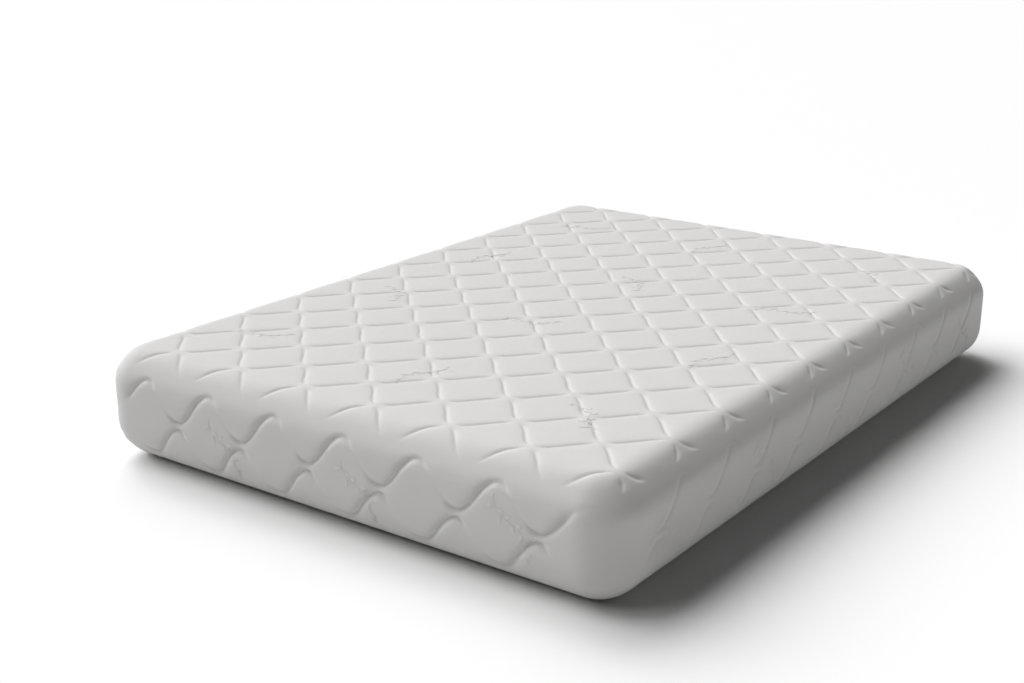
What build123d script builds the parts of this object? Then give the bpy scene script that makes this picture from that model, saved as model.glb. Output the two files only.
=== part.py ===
from build123d import *
import os

# A full-size memory foam mattress. Millimetres, +Z up.
# The origin is the middle of the underside, +Y points to the head end and X runs across the bed.
# The cover is a quilted laminate of three cloths, sewn from a top panel, a border and a base panel.
# Inside are a barrier sock and three bonded foam layers. The cover zips open along the -X side.

# ---- Overall size and rounding ----
WIDTH = 1371.6
LENGTH = 1905.0
HEIGHT = 254.0
PLAN_RADIUS = 95.0  # corners seen from above
TOP_EDGE_RADIUS = 77.0
BASE_EDGE_RADIUS = 93.0

# ---- Cover laminate, from the outside in ----
KNIT_THICKNESS = 2.5
WADDING_THICKNESS = 6.0
BACKING_THICKNESS = 1.5
SOCK_THICKNESS = 1.5
LAYER_GAP = 0.3  # clearance between curved layers
CUT_MARGIN = 1.0  # how far a cutting shape reaches past what it cuts

# ---- Where the three panels of the cover meet ----
TOP_SEAM_BELOW_TOP = 27.0
BASE_SEAM_INSET = 60.0  # on the underside, in from the sides
SEAM_THREAD_WIDTH = 3.0
SEAM_CLEARANCE = 0.5

# ---- Inside ----
SOCK_END_SETBACK = 60.0  # the sock's end panel starts this far from the head end
MEMORY_FOAM_THICKNESS = 70.0
TRANSITION_FOAM_THICKNESS = 50.0
GLUE_THICKNESS = 1.0

# ---- Zip: depths are measured in from the cover's flat side ----
ZIP_CORNER_CLEARANCE = 7.5  # from the end of the opening to the start of the plan corner
ZIP_ABOVE_CURVE = 17.0  # from the top of the base curve up to the zip's centre line
OPENING_HALF_HEIGHT = 6.0
TAPE_DEPTH = 6.7
TAPE_THICKNESS = 0.8
TAPE_HALF_GAP = 1.5
TAPE_WIDTH = 13.5
RECESS_CLEARANCE = 2.0
COIL_THICKNESS = 2.2
COIL_WIDTH = 2.0
COIL_HALF_GAP = 1.2
COIL_EDGE_RADIUS = 0.5
STOP_LENGTH = 4.0
HEAD_END_TAPE = 10.0  # tape beyond the coil at the head end
FOOT_END_TAPE = 34.0  # tape beyond the coil at the foot end, where the pull tab comes to lie
END_TAB_LENGTH = 5.0
END_TAB_THICKNESS = 0.8
FLAP_THICKNESS = 1.2
FLAP_CLEARANCE = 0.3

# ---- Slider and pull tab ----
RUNNING_CLEARANCE = 0.3
SLIDER_LENGTH = 15.0
SLIDER_PLATE = 1.4
SLIDER_BACK_PLATE = 1.2
SLIDER_CORNER_RADIUS = 3.0
FLANGE_THICKNESS = 1.0
FLANGE_CLEARANCE = 0.4
POST_LENGTH = 4.5
POST_CORNER_RADIUS = 0.7
POST_SETBACK = 1.0  # from the slider's head end
CROWN_LENGTH = 9.2
CROWN_WIDTH = 2.6
CROWN_BEAM = 0.9
CROWN_OPENING = 1.7
CROWN_PILLAR = 1.4
TAB_THICKNESS = 1.2
TAB_LENGTH = 28.0
TAB_WIDTH = 5.8
TAB_WINDOW = 6.0  # from the hinge line to the solid part of the tab
TAB_EYE_RADIUS = 1.2
TAB_CORNER_RADIUS = 2.3

# ---- Care label ----
LABEL_LENGTH = 60.0
LABEL_HEIGHT = 38.0
LABEL_THICKNESS = 0.6
LABEL_ABOVE_ZIP = 6.0

os.makedirs("parts", exist_ok=True)

# Depth of each layer's outer face below the cover's surface
wadding_depth = KNIT_THICKNESS + LAYER_GAP
backing_depth = wadding_depth + WADDING_THICKNESS + LAYER_GAP
sock_depth = backing_depth + BACKING_THICKNESS + LAYER_GAP
foam_depth = sock_depth + SOCK_THICKNESS + LAYER_GAP

top_seam = HEIGHT - TOP_SEAM_BELOW_TOP
half_thread = SEAM_THREAD_WIDTH / 2
half_seam = half_thread + SEAM_CLEARANCE

side = -WIDTH / 2
zip_z = BASE_EDGE_RADIUS + ZIP_ABOVE_CURVE
opening_half = LENGTH / 2 - PLAN_RADIUS - ZIP_CORNER_CLEARANCE
coil_foot = -opening_half + FOOT_END_TAPE
coil_head = opening_half - HEAD_END_TAPE
slider_park = coil_head - SLIDER_LENGTH / 2 - RUNNING_CLEARANCE
slider_travel = slider_park - (coil_foot + SLIDER_LENGTH / 2 + RUNNING_CLEARANCE)

plate_outer = TAPE_DEPTH - COIL_THICKNESS - RUNNING_CLEARANCE - SLIDER_PLATE
plate_inner = plate_outer + SLIDER_PLATE
back_plate = TAPE_DEPTH + TAPE_THICKNESS + RUNNING_CLEARANCE
hinge_depth = plate_outer - CROWN_OPENING / 2


def write(name, shape):
    """Saves one named piece."""
    shape.label = name
    export_step(shape, "parts/" + name + ".step")
    solids = shape.solids()
    print(name, len(solids), round(sum(solid.volume for solid in solids) / 1000, 2), "cm3")


def rounded_block(depth):
    """The mattress's own outline, offset inwards by this depth."""
    block = Box(
        WIDTH - 2 * depth,
        LENGTH - 2 * depth,
        HEIGHT - 2 * depth,
        align=(Align.CENTER, Align.CENTER, Align.MIN),
    )
    block = Pos(0, 0, depth) * block
    block = fillet(block.edges().filter_by(Axis.Z), PLAN_RADIUS - depth)
    block = fillet(block.faces().sort_by(Axis.Z)[-1].edges(), TOP_EDGE_RADIUS - depth)
    return fillet(block.faces().sort_by(Axis.Z)[0].edges(), BASE_EDGE_RADIUS - depth)


def slab(low, high):
    """All the space between two heights."""
    plate = Box(
        WIDTH + 2 * CUT_MARGIN,
        LENGTH + 2 * CUT_MARGIN,
        high - low,
        align=(Align.CENTER, Align.CENTER, Align.MIN),
    )
    return Pos(0, 0, low) * plate


def footprint(inset):
    """A low block under the base curve, inside the cover's plan outline by this inset."""
    plate = Box(
        WIDTH - 2 * inset,
        LENGTH - 2 * inset,
        BASE_EDGE_RADIUS,
        align=(Align.CENTER, Align.CENTER, Align.MIN),
    )
    return Pos(0, 0, -CUT_MARGIN) * fillet(plate.edges().filter_by(Axis.Z), PLAN_RADIUS - inset)


def on_side(depths, across, heights):
    """A box on the -X side: its depths below the surface, its span along Y and its heights."""
    size = (depths[1] - depths[0], across[1] - across[0], heights[1] - heights[0])
    middle = (side + sum(depths) / 2, sum(across) / 2, sum(heights) / 2)
    return Pos(*middle) * Box(*size)


def zip_box(depths, across, half_height):
    """A box on the zip's centre line, equally far above and below it."""
    return on_side(depths, across, (zip_z - half_height, zip_z + half_height))


def two_sides(near, far, depths, across):
    """The same strip above and below the zip's centre line, as a lower and an upper box."""
    lower = on_side(depths, across, (zip_z - far, zip_z - near))
    upper = on_side(depths, across, (zip_z + near, zip_z + far))
    return lower, upper


def shell(outer_depth, thickness):
    """A closed skin between two offsets of the mattress's outline."""
    return rounded_block(outer_depth) - rounded_block(outer_depth + thickness)


# ---- Openings for the zip: the knit is turned in round its opening as a lip ----
lip_half_height = OPENING_HALF_HEIGHT + KNIT_THICKNESS
lip_half_length = opening_half + KNIT_THICKNESS
recess_half_height = TAPE_HALF_GAP + TAPE_WIDTH + RECESS_CLEARANCE
recess_half_length = lip_half_length + RECESS_CLEARANCE
full_depth = (-CUT_MARGIN, sock_depth - LAYER_GAP / 2)
opening = zip_box(full_depth, (-opening_half, opening_half), OPENING_HALF_HEIGHT)
recess = zip_box(full_depth, (-recess_half_length, recess_half_length), recess_half_height)
lip = zip_box((0, TAPE_DEPTH), (-lip_half_length, lip_half_length), lip_half_height) - opening

# ---- Cover: each layer of the laminate cut into top panel, border and base panel ----
LAYERS = (
    ("knit", 0.0, KNIT_THICKNESS, 0.0),
    ("wadding", wadding_depth, WADDING_THICKNESS, half_seam),
    ("backing", backing_depth, BACKING_THICKNESS, half_seam),
)
for layer, depth, thickness, setback in LAYERS:
    skin = shell(depth, thickness)
    border = (skin & slab(-CUT_MARGIN, top_seam - setback)) - footprint(BASE_SEAM_INSET - setback)
    if layer == "knit":
        border = (border - opening) + lip
    else:
        border = border - recess
    write("top_panel_" + layer, skin & slab(top_seam + setback, HEIGHT + CUT_MARGIN))
    write("border_" + layer, border)
    write("base_panel_" + layer, skin & footprint(BASE_SEAM_INSET + setback))

# ---- Seam thread, overlocked inside the cover where the panels meet ----
seam_band = rounded_block(wadding_depth) - rounded_block(backing_depth + BACKING_THICKNESS)
write("top_seam_thread", seam_band & slab(top_seam - half_thread, top_seam + half_thread))
base_ring = footprint(BASE_SEAM_INSET - half_thread) - footprint(BASE_SEAM_INSET + half_thread)
write("base_seam_thread", seam_band & base_ring)

# ---- Barrier sock round the foam: a knitted tube, closed at the head by its own panel ----
sock = shell(sock_depth, SOCK_THICKNESS)
head_end = Pos(0, LENGTH - SOCK_END_SETBACK, HEIGHT / 2) * Box(WIDTH, LENGTH, HEIGHT)
write("barrier_sock", sock - head_end)
write("barrier_sock_end_panel", sock & head_end)

# ---- Foam: five bonded slices of one block ----
foam_block = rounded_block(foam_depth)
memory_base = HEIGHT - foam_depth - MEMORY_FOAM_THICKNESS
transition_top = memory_base - GLUE_THICKNESS
transition_base = transition_top - TRANSITION_FOAM_THICKNESS
core_top = transition_base - GLUE_THICKNESS
write("memory_foam_layer", foam_block & slab(memory_base, HEIGHT))
write("glue_line_upper", foam_block & slab(transition_top, memory_base))
write("transition_foam_layer", foam_block & slab(transition_base, transition_top))
write("glue_line_lower", foam_block & slab(core_top, transition_base))
write("support_foam_core", foam_block & slab(0, core_top))

# ---- Zip: tapes, coils, stops, end tabs and guard flap ----
tape_depths = (TAPE_DEPTH, TAPE_DEPTH + TAPE_THICKNESS)
coil_depths = (TAPE_DEPTH - COIL_THICKNESS, TAPE_DEPTH)
tape_span = (-lip_half_length, lip_half_length)
tapes = two_sides(TAPE_HALF_GAP, TAPE_HALF_GAP + TAPE_WIDTH, tape_depths, tape_span)
coil_outer = COIL_HALF_GAP + COIL_WIDTH
coils = two_sides(COIL_HALF_GAP, coil_outer, coil_depths, (coil_foot, coil_head))
for place, tape, coil in zip(("lower", "upper"), tapes, coils):
    write("zip_tape_" + place, tape)
    write("zip_coil_" + place, fillet(coil.edges().filter_by(Axis.Y), COIL_EDGE_RADIUS))

ENDS = (
    ("head", coil_head, coil_head + STOP_LENGTH, opening_half - END_TAB_LENGTH, opening_half),
    ("foot", coil_foot - STOP_LENGTH, coil_foot, -opening_half, END_TAB_LENGTH - opening_half),
)
for end, stop_low, stop_high, tab_low, tab_high in ENDS:
    stop = zip_box(coil_depths, (stop_low, stop_high), coil_outer)
    write("zip_stop_" + end, fillet(stop.edges().filter_by(Axis.Y), COIL_EDGE_RADIUS))
    tab_depths = (TAPE_DEPTH - END_TAB_THICKNESS, TAPE_DEPTH)
    write("zip_end_tab_" + end, zip_box(tab_depths, (tab_low, tab_high), OPENING_HALF_HEIGHT))

flap_depth = back_plate + SLIDER_BACK_PLATE + FLAP_CLEARANCE
flap = zip_box(
    (flap_depth, flap_depth + FLAP_THICKNESS),
    (-lip_half_length, lip_half_length),
    TAPE_HALF_GAP + TAPE_WIDTH,
)
write("zip_guard_flap", flap)

# ---- Slider: two plates joined by a post between the coils, with a crown for the pull tab ----
flange_inner = coil_outer + FLANGE_CLEARANCE
slider_half_width = flange_inner + FLANGE_THICKNESS
slider_ends = (slider_park - SLIDER_LENGTH / 2, slider_park + SLIDER_LENGTH / 2)
front = zip_box((plate_outer, plate_inner), slider_ends, slider_half_width)
back = zip_box((back_plate, back_plate + SLIDER_BACK_PLATE), slider_ends, slider_half_width)
front = fillet(front.edges().filter_by(Axis.X), SLIDER_CORNER_RADIUS)
back = fillet(back.edges().filter_by(Axis.X), SLIDER_CORNER_RADIUS)
flange_span = (slider_ends[0] + SLIDER_CORNER_RADIUS, slider_ends[1] - SLIDER_CORNER_RADIUS)
flange_depths = (plate_inner, TAPE_DEPTH - RUNNING_CLEARANCE)
flanges = two_sides(flange_inner, slider_half_width, flange_depths, flange_span)
post_half = COIL_HALF_GAP - RUNNING_CLEARANCE
post_head = slider_ends[1] - POST_SETBACK
post_span = (post_head - POST_LENGTH, post_head)
post = zip_box((plate_inner, back_plate), post_span, post_half)
post = fillet(post.edges().filter_by(Axis.X), POST_CORNER_RADIUS)
crown_ends = (slider_park - CROWN_LENGTH / 2, slider_park + CROWN_LENGTH / 2)
crown = zip_box(
    (plate_outer - CROWN_OPENING - CROWN_BEAM, plate_outer), crown_ends, CROWN_WIDTH / 2
)
outer_edges = crown.edges().filter_by(Axis.Z).group_by(Axis.X)[0]
crown = fillet(outer_edges, CROWN_BEAM)
crown -= zip_box(
    (plate_outer - CROWN_OPENING, plate_outer),
    (crown_ends[0] + CROWN_PILLAR, crown_ends[1] - CROWN_PILLAR),
    CROWN_WIDTH,
)
write("zip_slider", front + back + flanges[0] + flanges[1] + post + crown)

# ---- Pull tab: hooked under the crown by a cross bar, pointing to the foot end ----
bar_radius = TAB_THICKNESS / 2
tab = zip_box(
    (hinge_depth - bar_radius, hinge_depth + bar_radius),
    (slider_park - TAB_LENGTH, slider_park),
    TAB_WIDTH / 2,
)
far_corners = tab.edges().filter_by(Axis.X).group_by(Axis.Y)[0]
tab = fillet(far_corners, TAB_CORNER_RADIUS)
bar = Pos(side + hinge_depth, slider_park, zip_z) * Cylinder(bar_radius, TAB_WIDTH)
window = zip_box(
    (0, plate_outer),
    (slider_park - TAB_WINDOW, slider_park + bar_radius),
    CROWN_WIDTH / 2 + RUNNING_CLEARANCE,
)
eye = Pos(side + hinge_depth, slider_park - TAB_LENGTH + TAB_WIDTH / 2, zip_z)
eye = eye * Rot(0, 90, 0) * Cylinder(TAB_EYE_RADIUS, TAB_THICKNESS + 2 * CUT_MARGIN)
write("zip_pull_tab", (tab - window) + bar - eye)

# ---- Care label, sewn flat on the border above the zip, near the head end ----
label_foot = zip_z + lip_half_height + LABEL_ABOVE_ZIP
label = on_side(
    (-LABEL_THICKNESS, 0),
    (opening_half - LABEL_LENGTH, opening_half),
    (label_foot, label_foot + LABEL_HEIGHT),
)
write("care_label", label)

print("zip slide, mm:", round(slider_travel, 3))
print("pull tab hinge, mm:", [round(value, 3) for value in (side + hinge_depth, slider_park, zip_z)])
print("base rest face half sizes, mm:", WIDTH / 2 - BASE_EDGE_RADIUS, LENGTH / 2 - BASE_EDGE_RADIUS)
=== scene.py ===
import math

import bmesh
import bpy
import numpy as np
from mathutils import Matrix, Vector


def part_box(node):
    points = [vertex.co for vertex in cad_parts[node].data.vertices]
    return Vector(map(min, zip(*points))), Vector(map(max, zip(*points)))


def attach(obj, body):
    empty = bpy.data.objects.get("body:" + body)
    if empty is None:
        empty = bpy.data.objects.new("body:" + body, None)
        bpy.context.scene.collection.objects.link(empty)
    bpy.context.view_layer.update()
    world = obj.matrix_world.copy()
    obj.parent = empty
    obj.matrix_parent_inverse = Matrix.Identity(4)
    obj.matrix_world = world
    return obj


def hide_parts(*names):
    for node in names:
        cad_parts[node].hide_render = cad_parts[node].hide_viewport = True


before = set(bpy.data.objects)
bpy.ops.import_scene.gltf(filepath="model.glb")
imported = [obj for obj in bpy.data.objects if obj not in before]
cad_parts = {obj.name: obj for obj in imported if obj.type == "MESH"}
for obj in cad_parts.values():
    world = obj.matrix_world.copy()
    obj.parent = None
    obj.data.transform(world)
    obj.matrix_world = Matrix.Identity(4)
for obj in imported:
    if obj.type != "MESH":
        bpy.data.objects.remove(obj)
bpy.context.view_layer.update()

# A full-size memory foam mattress in its quilted cover. Metres, +Z up, +Y towards the head end.

MM = 0.001
SHARP_FROM = math.radians(50)  # faces that meet at more than this keep a crisp edge

# ---- The cover's outline, from the frame ----
HALF_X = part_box("border_knit")[1].x
HALF_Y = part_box("border_knit")[1].y
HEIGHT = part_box("top_panel_knit")[1].z
TOP_SEAM_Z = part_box("top_panel_knit")[0].z
BASE_SEAM_INSET = HALF_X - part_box("base_panel_knit")[1].x

# ---- Rounding of the outline ----
PLAN_RADIUS = 95 * MM
TOP_RADIUS = 77 * MM
BASE_RADIUS = 93 * MM
CORE_X = HALF_X - PLAN_RADIUS
CORE_Y = HALF_Y - PLAN_RADIUS
ARC_TOP = TOP_RADIUS * math.pi / 2
ARC_CORNER = PLAN_RADIUS * math.pi / 2
FLAT_SIDE = HEIGHT - TOP_RADIUS - BASE_RADIUS

# Distances across the edge, from where the flat top starts to roll over
TOP_SEAM_S = TOP_RADIUS * math.acos((TOP_SEAM_Z - HEIGHT + TOP_RADIUS) / TOP_RADIUS)
BASE_SEAM_S = ARC_TOP + FLAT_SIDE + BASE_RADIUS * math.acos(1 - BASE_SEAM_INSET / BASE_RADIUS)

# ---- Layers under the cover's face: depths of each one's outer and inner sides ----
KNIT = (0.0, 2.5 * MM)
WADDING = (2.8 * MM, 8.8 * MM)
BACKING = (9.1 * MM, 10.6 * MM)
SOCK = (10.9 * MM, 12.4 * MM)
FOAM_DEPTH = 12.7 * MM
SEAM_GAP = 2 * MM  # the padding stops this far from each seam

# ---- Quilting: rows of waves, each row in opposite phase to the next ----
WAVE_PERIOD = 190.5 * MM
WAVE_SWING = 39 * MM
ROW_SPACING = WAVE_PERIOD / 2
TOP_ROW = -908.6 * MM  # centre line of the row nearest the foot end, unrolled
TOP_PHASE = 630 * MM
BORDER_ROW = 57.5 * MM  # centre line of the border's first row, below the top seam
BORDER_PHASE = -432 * MM
CORNER_PATTERN = (66.7 * MM, 78.7 * MM, 78.7 * MM, 78.7 * MM)  # pattern length round each corner

# How deep and how wide the stitch line and the pillowing beside it are, on the top and the border
TOP_GROOVE = (2.5 * MM, 5.0 * MM, 1.1 * MM, 18 * MM)
BORDER_GROOVE = (7.2 * MM, 5.8 * MM, 1.0 * MM, 16 * MM)
PROUD = 2.6 * MM  # the cells' middles stand this far out
CORNER_EASING = 55 * MM  # the pattern's stretch round a corner is spread this far either way

# How tight the stitching is where it is slackest, and the two swings of a wave between which it tightens
TOP_PULL = (0.12, 0.15, 0.72)
BORDER_PULL = (0.04, -0.9, -0.15)

# How far from the top seam the top's quilting starts, and where it is full: at the ends and on each side
TOP_FADE_ENDS = (0.0, 42 * MM)
TOP_FADE_PLUS_X = (2 * MM, 20 * MM)
TOP_FADE_MINUS_X = (18 * MM, 46 * MM)
SIDE_BLEND = 20 * MM  # one side's fade changes into the next over this much either way

# The border's quilting is full this far below the top seam, and dies out above the base seam
BORDER_FADE_TOP = 38 * MM
BORDER_FADE_BASE = (75 * MM, 30 * MM)
CORNER_SHARE = 0.12  # how much of the quilting is left round a corner
CORNER_FADE = (0.42, 0.62)  # in corner arcs from the middle of the corner
PLUS_X_SHARE = 0.3  # how much of the quilting shows on the +X side
ZIP_FADE = (11 * MM, 30 * MM)  # from the zip's centre line
ABOVE_ZIP = (24 * MM, 12 * MM)  # the stitching ends between these heights above the zip

# ---- Zip opening in the border, on the -X side ----
ZIP_Z = (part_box("zip_guard_flap")[0].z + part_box("zip_guard_flap")[1].z) / 2
OPENING_HALF = 6 * MM
OPENING_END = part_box("zip_end_tab_head")[1].y
ZIP_S = ARC_TOP + HEIGHT - TOP_RADIUS - ZIP_Z
LIP_HALF = OPENING_HALF + 2.5 * MM
LIP_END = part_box("zip_guard_flap")[1].y
RECESS_HALF = 17 * MM
RECESS_END = LIP_END + 2 * MM

# ---- Mesh rows either side of each groove: nominal distance, and how it follows the row's height
ROW_OFFSETS = np.array([1.5, 3.0, 4.6, 6.6, 9.5, 14.0, 21.0, 31.0, 47.625]) * MM
ROW_STRETCH = np.array([0.40, 0.45, 0.50, 0.58, 0.66, 0.74, 0.82, 0.90, 1.0])
HALF_BAND = len(ROW_OFFSETS)
BAND = 2 * HALF_BAND
SLOT_ROW = 4  # this many rows from the zip's centre line to the edge of its opening
LEAST_ROW_GAP = 4 * MM  # between two grooves that the mesh follows

# ---- Mesh columns: across a panel or an end, along a side, along the zip's opening and round a corner
PANEL_COLUMNS = 174
SIDE_COLUMNS = 254
SLOT_COLUMNS = 250
CORNER_COLUMNS = 22


def smooth(x, low, high):
    """0 below low, 1 above high, with a soft step between."""
    t = np.clip((x - low) / (high - low), 0, 1)
    return t * t * (3 - 2 * t)


# -------------------- shape of the cover
def profile(s):
    """Across the cover's edge: inset from the outline, height, and the normal's two parts."""
    top = np.clip(s / TOP_RADIUS, 0, math.pi / 2)
    base = np.clip((s - ARC_TOP - FLAT_SIDE) / BASE_RADIUS, 0, math.pi / 2)
    side = np.clip(s - ARC_TOP, 0, FLAT_SIDE)
    inset = TOP_RADIUS * (1 - np.sin(top)) + BASE_RADIUS * (1 - np.cos(base)) - np.minimum(s, 0)
    z = HEIGHT - TOP_RADIUS * (1 - np.cos(top)) - side - BASE_RADIUS * np.sin(base)
    return inset, z, np.sin(top) * np.cos(base), np.cos(top) - np.sin(base)


def drape(u, v, underside=False):
    """A panel's flat coordinates laid over the block: points and outward normals."""
    qx = np.maximum(np.abs(u) - CORE_X, 0) * np.sign(u)
    qy = np.maximum(np.abs(v) - CORE_Y, 0) * np.sign(v)
    reach = np.hypot(qx, qy)
    nx = qx / np.maximum(reach, 1e-9)
    ny = qy / np.maximum(reach, 1e-9)
    if underside:
        turn = np.clip((reach - PLAN_RADIUS + BASE_RADIUS) / BASE_RADIUS, 0, math.pi / 2)
        out = np.where(turn > 0, PLAN_RADIUS - BASE_RADIUS * (1 - np.sin(turn)), reach)
        z = BASE_RADIUS * (1 - np.cos(turn))
        outward, upward = np.sin(turn), -np.cos(turn)
    else:
        inset, z, outward, upward = profile(reach - PLAN_RADIUS + TOP_RADIUS)
        out = PLAN_RADIUS - inset
    x = np.clip(u, -CORE_X, CORE_X) + nx * out
    y = np.clip(v, -CORE_Y, CORE_Y) + ny * out
    return np.stack([x, y, z], -1), np.stack([nx * outward, ny * outward, upward], -1)


# Stretches of the outline, anticlockwise from the middle of the foot end
SIDES = (
    # length, start point, direction, and for an arc its centre and first angle
    (CORE_X, (0.0, -HALF_Y), (1, 0), None),
    (ARC_CORNER, None, None, ((CORE_X, -CORE_Y), -math.pi / 2)),
    (2 * CORE_Y, (HALF_X, -CORE_Y), (0, 1), None),
    (ARC_CORNER, None, None, ((CORE_X, CORE_Y), 0.0)),
    (2 * CORE_X, (CORE_X, HALF_Y), (-1, 0), None),
    (ARC_CORNER, None, None, ((-CORE_X, CORE_Y), math.pi / 2)),
    (2 * CORE_Y, (-HALF_X, CORE_Y), (0, -1), None),
    (ARC_CORNER, None, None, ((-CORE_X, -CORE_Y), math.pi)),
    (CORE_X, (-CORE_X, -HALF_Y), (1, 0), None),
)
SIDE_STARTS = np.concatenate([[0], np.cumsum([side[0] for side in SIDES])])
PERIMETER = SIDE_STARTS[-1]
ZIP_SIDE = SIDE_STARTS[6]


def outline(p):
    """Points of the plan outline and its outward normals, p metres round from the foot end."""
    point = np.zeros(p.shape + (2,))
    normal = np.zeros(p.shape + (2,))
    for (length, start, along, arc), first in zip(SIDES, SIDE_STARTS):
        here = (p >= first) & (p <= first + length)
        run = p[here] - first
        if arc:
            (cx, cy), angle = arc
            turn = angle + run / PLAN_RADIUS
            facing = np.stack([np.cos(turn), np.sin(turn)], -1)
            point[here] = np.array([cx, cy]) + PLAN_RADIUS * facing
        else:
            facing = np.broadcast_to([along[1], -along[0]], run.shape + (2,))
            point[here] = np.array(start) + run[:, None] * np.array(along)
        normal[here] = facing
    return point, normal


def wrap_round(p, s):
    """The border's coordinates laid round the block: points and outward normals."""
    point, facing = outline(p)
    inset, z, outward, upward = profile(s)
    xy = point - facing * inset[..., None]
    normal = np.concatenate([facing * outward[..., None], upward[..., None]], -1)
    return np.concatenate([xy, z[..., None]], -1), normal


def pattern_along(p):
    """Distance along the border's quilting, which is eased a little round each corner."""
    ends, marks = [0.0], [0.0]
    corner = iter(CORNER_PATTERN)
    for length, _, _, arc in SIDES:
        ends.append(ends[-1] + length)
        marks.append(marks[-1] + (next(corner) if arc else length))
    ends = np.array([-CORE_X] + ends + [PERIMETER + CORE_X])
    marks = np.array([-CORE_X] + marks + [marks[-1] + CORE_X])
    nearby = np.linspace(-CORNER_EASING, CORNER_EASING, 9)
    return sum(np.interp(p + step, ends, marks) for step in nearby) / len(nearby)


# -------------------- quilted relief
def wave(along, centre, phase):
    """Where one row's wave runs, and its slope."""
    turn = 2 * math.pi * (along - phase) / WAVE_PERIOD
    slope = -WAVE_SWING * 2 * math.pi / WAVE_PERIOD * np.sin(turn)
    return centre + WAVE_SWING * np.cos(turn), slope


def groove(distance, shape):
    """Depth of the quilting at a distance from its stitch line."""
    depth, width, puff_depth, puff_width = shape
    tight = depth * np.exp(-((distance / width) ** 2))
    return tight + puff_depth * np.exp(-((distance / puff_width) ** 2))


def relief(along, across, rows, shape, pull):
    """Depth of the quilting at each point. pull gives how tight the stitching is along a wave."""
    deepest = np.zeros(along.shape)
    for centre, phase in rows:
        path, slope = wave(along, centre, phase)
        turn = 2 * math.pi * (along - phase) / WAVE_PERIOD
        distance = np.abs(across - path) / np.hypot(1, slope)
        deepest = np.maximum(deepest, groove(distance, shape) * pull(turn))
    return deepest


def tightness(swing, slackest, low, high):
    """How tight the stitching is, from how far a wave has swung."""
    return slackest + (1 - slackest) * smooth(swing, low, high)


def top_pull(turn):
    """The top's stitching slackens where two rows come close together."""
    return tightness(np.abs(np.sin(turn)), *TOP_PULL)


def border_pull(turn):
    """The border's stitching is tight on one flank of each wave and slack on the other."""
    return tightness(np.sin(turn), *BORDER_PULL)


TOP_ROWS = [
    (TOP_ROW + ROW_SPACING * k, TOP_PHASE + WAVE_PERIOD / 2 * (k % 2)) for k in range(20)
]
BORDER_ROWS = [
    (TOP_SEAM_S + BORDER_ROW, BORDER_PHASE),
    (TOP_SEAM_S + BORDER_ROW + ROW_SPACING, BORDER_PHASE + WAVE_PERIOD / 2),
]


def top_relief(u, v):
    """Quilting of the top panel, which dies out just before the seam."""
    reach = np.hypot(np.maximum(np.abs(u) - CORE_X, 0), np.maximum(np.abs(v) - CORE_Y, 0))
    to_seam = TOP_SEAM_S + PLAN_RADIUS - TOP_RADIUS - reach
    quilting = relief(u, v, TOP_ROWS, TOP_GROOVE, top_pull)
    plus, minus = (smooth(side * u, CORE_X - SIDE_BLEND, CORE_X + SIDE_BLEND) for side in (1, -1))
    starts_at, full_at = (
        at_end + (at_plus - at_end) * plus + (at_minus - at_end) * minus
        for at_end, at_plus, at_minus in zip(TOP_FADE_ENDS, TOP_FADE_PLUS_X, TOP_FADE_MINUS_X)
    )
    return quilting * smooth(to_seam, starts_at, full_at) - PROUD * smooth(to_seam, *TOP_FADE_ENDS)


def border_relief(p, s):
    """Quilting of the border, which dies out at its seams, at the corners and beside the zip."""
    quilting = relief(pattern_along(p), s, BORDER_ROWS, BORDER_GROOVE, border_pull)
    to_corner = np.min([np.abs(p - start - ARC_CORNER / 2) for start in SIDE_STARTS[1:-2:2]], axis=0)
    off_corner = smooth(to_corner, *(ARC_CORNER * share for share in CORNER_FADE))
    quilting = quilting * (CORNER_SHARE + (1 - CORNER_SHARE) * off_corner)
    into_plus_x = smooth(p, SIDE_STARTS[2] - ARC_CORNER / 2, SIDE_STARTS[2])
    past_plus_x = smooth(p, SIDE_STARTS[3], SIDE_STARTS[4])
    quilting = quilting * (1 - (1 - PLUS_X_SHARE) * into_plus_x * (1 - past_plus_x))
    base_fade = smooth(s, *(BASE_SEAM_S - above for above in BORDER_FADE_BASE))
    fade = smooth(s - TOP_SEAM_S, 0, BORDER_FADE_TOP) * (1 - base_fade)
    beside_zip = (p > ZIP_SIDE - ARC_CORNER / 2) & (p < ZIP_SIDE + 2 * CORE_Y + ARC_CORNER / 2)
    past_zip = np.abs(p - ZIP_SIDE - CORE_Y) - OPENING_END
    zip_fade = smooth(np.hypot(np.maximum(past_zip, 0), s - ZIP_S), *ZIP_FADE)
    below_rows = smooth(s, *(ZIP_S - above for above in ABOVE_ZIP))
    quilting = quilting * np.where(beside_zip, 1 - below_rows, 1)
    return (quilting - PROUD) * fade * np.where(beside_zip, zip_fade, 1)


# -------------------- meshes
def between(anchors):
    """Mesh rows for each column: through every anchor line, and close together beside it."""
    rows = [anchors[0]]
    for low, high in zip(anchors[:-1], anchors[1:]):
        half = (high - low) / 2
        near = ROW_OFFSETS[:, None] * (half / ROW_OFFSETS[-1]) ** ROW_STRETCH[:, None]
        rows += [low + step for step in near]
        rows += [high - step for step in near[-2::-1]] + [high]
    return np.array(rows)


def kept_apart(anchors, least):
    """The anchor lines pushed back between the first and the last one."""
    for k in range(1, len(anchors) - 1):
        anchors[k] = np.maximum(anchors[k], anchors[k - 1] + least)
    for k in range(len(anchors) - 2, 0, -1):
        anchors[k] = np.minimum(anchors[k], anchors[k + 1] - least)
    return anchors


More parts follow.
